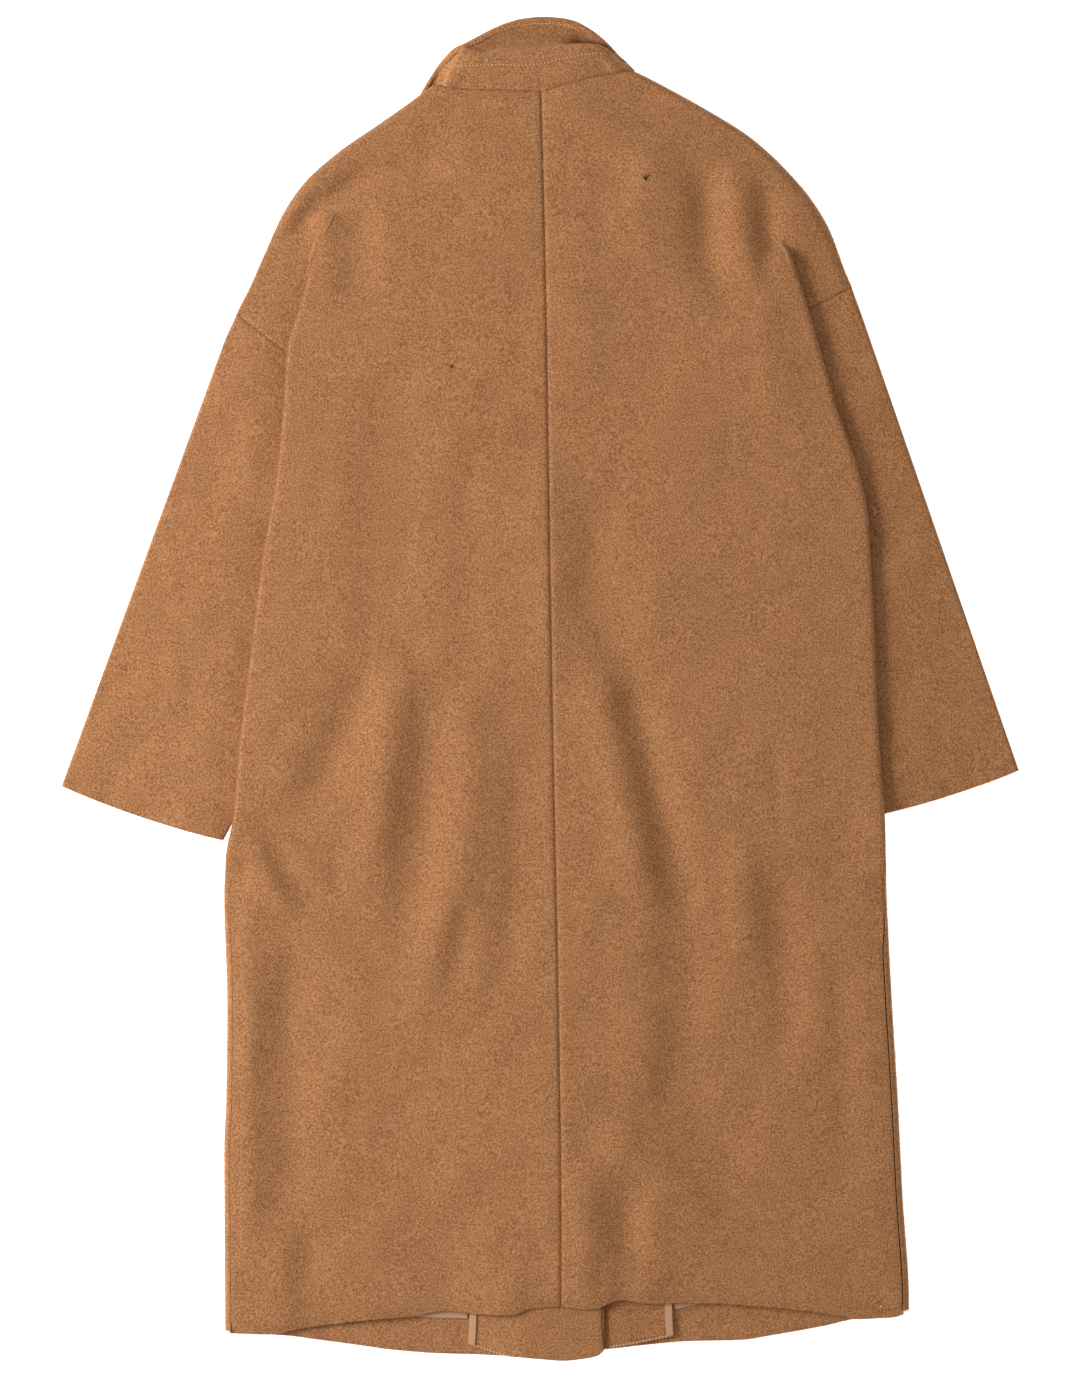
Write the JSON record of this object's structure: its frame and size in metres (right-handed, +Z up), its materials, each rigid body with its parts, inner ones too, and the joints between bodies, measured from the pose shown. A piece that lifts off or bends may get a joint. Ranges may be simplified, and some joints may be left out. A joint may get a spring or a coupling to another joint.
{
  "type": "oversized coat",
  "caption": "Oversized drop-shouldered wool coat with a turned-up collar, laid flat face down with its sleeves spread.",
  "frame": {"origin": "on the surface the coat lies on, under the middle of its box", "axes": "+Z up from the surface, +Y towards the collar, +X towards the coat's right sleeve"},
  "size_m": [0.86, 1.2087, 0.0209],
  "materials": {
    "wool": "camel wool coating with a short raised nap",
    "tape": "smooth woven binding tape, lighter than the wool"
  },
  "bodies": {
    "root": {"back_left": "wool", "back_right": "wool", "front_left": "wool", "front_right": "wool", "sleeve_left": "wool", "sleeve_right": "wool", "collar_stand": "wool", "collar_fall": "wool", "facing_left": "wool", "facing_right": "wool", "facing_tape_left": "tape", "facing_tape_right": "tape", "hem_tape_left": "tape", "hem_tape_right": "tape"}
  },
  "joints": []
}
